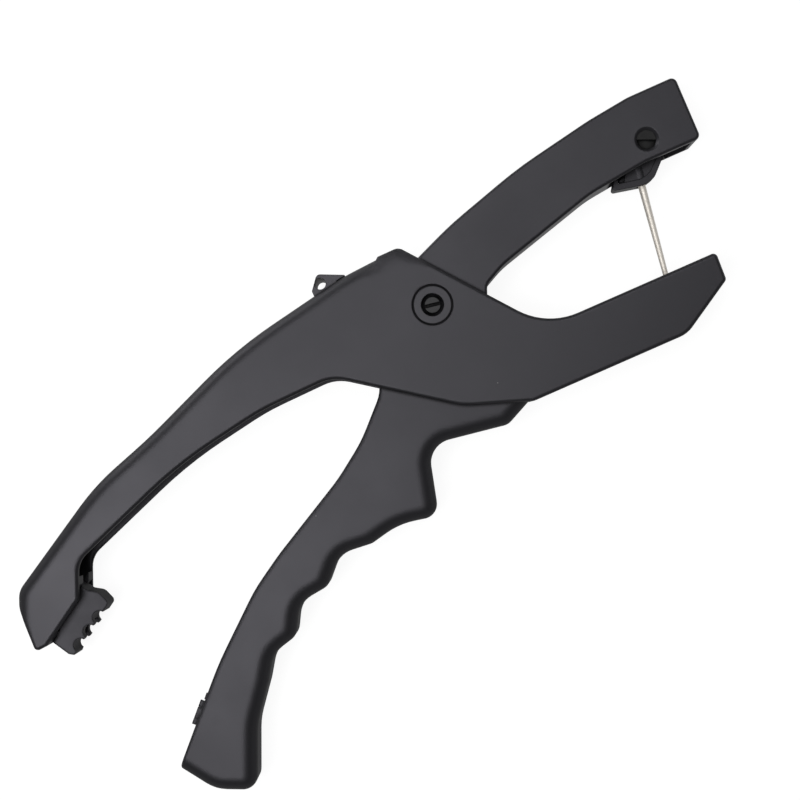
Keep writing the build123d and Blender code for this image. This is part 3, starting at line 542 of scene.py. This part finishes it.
# Floor: a plain white sweep that the tool lies on, and white all round it.
# The camera sees it white, and it still takes the tool's soft shadow.
# Reflections see it lighter behind the tool than in front, under a dark ceiling.
WHITE = (1.0, 1.0, 1.0, 1.0)
FLOOR_SIZE = 3.0
FLOOR_DROP = 0.0002
FLOOR_GREY = (0.2, 0.2, 0.2, 1.0)
FLOOR_ROUGH = 0.9
FLOOR_GLOW = 0.92
FLOOR_SHINE = (0.18, 0.7)
FLOOR_STRETCH = (-0.06, 0.12)
SET_BACK = (0.4, 0.92, 0.0)


def lighter_behind(tree, source, stretch, levels):
    """Brightness that rises along the direction from the front of the set to its back."""
    spot = add(tree, "ShaderNodeTexCoord").outputs[source]
    return span(tree, measure(tree, "DOT_PRODUCT", spot, SET_BACK), *stretch, *levels)


def seen_directly(tree, shine):
    """One for rays from the camera or let through, and a share for rays that the tool reflects."""
    path = tree.nodes.new("ShaderNodeLightPath").outputs
    straight = calculate(tree, "MAXIMUM", path["Is Camera Ray"], path["Is Transmission Ray"])
    return calculate(tree, "MAXIMUM", straight, calculate(tree, "MULTIPLY", path["Is Glossy Ray"], shine))


bpy.ops.mesh.primitive_plane_add(size=FLOOR_SIZE, location=(0.0, 0.0, cad_box[0][2] - FLOOR_DROP))
floor = bpy.context.object
floor.name = "floor"
floor_white, floor_tree, floor_shader = new_material("floor_white")
floor_shader.inputs["Base Color"].default_value = FLOOR_GREY
floor_shader.inputs["Roughness"].default_value = FLOOR_ROUGH
floor_shader.inputs["Specular IOR Level"].default_value = 0.0
floor_shader.inputs["Emission Color"].default_value = WHITE
floor_seen = seen_directly(floor_tree, lighter_behind(floor_tree, "Object", FLOOR_STRETCH, FLOOR_SHINE))
floor_glow = calculate(floor_tree, "MULTIPLY", floor_seen, FLOOR_GLOW)
floor_tree.links.new(floor_glow, floor_shader.inputs["Emission Strength"])
floor.data.materials.append(floor_white)

FILL_LEVEL = 0.06
WALL_SHINE = (0.3, 1.0)
WALL_STRETCH = (-0.4, 0.8)
WALL_FADE = (0.05, 0.4)
CEILING_SHINE = 0.12
world = bpy.data.worlds.new("studio")
world.use_nodes = True
bpy.context.scene.world = world
room = world.node_tree
room_shader = room.nodes["Background"]
room_shader.inputs["Color"].default_value = WHITE
aim = add(room, "ShaderNodeTexCoord").outputs["Generated"]
height = add(room, "ShaderNodeSeparateXYZ", vector=aim).outputs["Z"]
wall = lighter_behind(room, "Generated", WALL_STRETCH, WALL_SHINE)
low_wall = calculate(room, "MULTIPLY", wall, span(room, height, *WALL_FADE, 1.0, 0.0))
room_seen = seen_directly(room, calculate(room, "ADD", low_wall, CEILING_SHINE))
room_level = span(room, room_seen, 0.0, 1.0, FILL_LEVEL, 1.0)
room.links.new(room_level, room_shader.inputs["Strength"])


# Studio light: three square soft boxes that the camera doesn't see.
# The key is high beyond the ends of the handles, and a weaker one high behind the upper jaw.
# The third and weakest is low behind the tool, on the side of its roof.
TOOL_MIDDLE = Vector((-0.03, -0.03, 0.02))


def add_softbox(name, place, width, watts):
    """Square area lamp turned towards the middle of the tool."""
    lamp = bpy.data.lights.new(name, "AREA")
    lamp.shape = "SQUARE"
    lamp.size = width
    lamp.energy = watts
    box = bpy.data.objects.new(name, lamp)
    box.location = place
    box.visible_camera = False
    box.rotation_euler = (TOOL_MIDDLE - Vector(place)).to_track_quat("-Z", "Y").to_euler()
    bpy.context.collection.objects.link(box)


add_softbox("key_softbox", place=(-0.34, -0.07, 0.95), width=0.45, watts=4.0)
add_softbox("side_softbox", place=(0.1, 0.26, 0.95), width=0.4, watts=1.75)
add_softbox("back_softbox", place=(-0.25, 0.5, 0.16), width=0.3, watts=0.7)


# Camera: a long lens half a metre above the tool, almost square on to its near face.
# It is turned so that the tool leans up to the right in the picture.
CAMERA_PLACE = Vector((-0.0169, -0.0364, 0.545))
CAMERA_AIM = Vector((-0.0225, -0.0245, 0.025))
CAMERA_UP = Vector((0.4019, 0.9157, 0.0))
LENS_MM = 70.9
SENSOR_MM = 36.0
NEAREST_SEEN = 0.01
ahead = (CAMERA_AIM - CAMERA_PLACE).normalized()
right = ahead.cross(CAMERA_UP).normalized()
up = right.cross(ahead)
lens = bpy.data.cameras.new("camera")
lens.lens = LENS_MM
lens.sensor_width = SENSOR_MM
lens.clip_start = NEAREST_SEEN
camera = bpy.data.objects.new("camera", lens)
camera.matrix_world = Matrix.Translation(CAMERA_PLACE) @ Matrix((right, up, -ahead)).transposed().to_4x4()
bpy.context.collection.objects.link(camera)
bpy.context.scene.camera = camera
bpy.context.scene.view_settings.view_transform = "Standard"
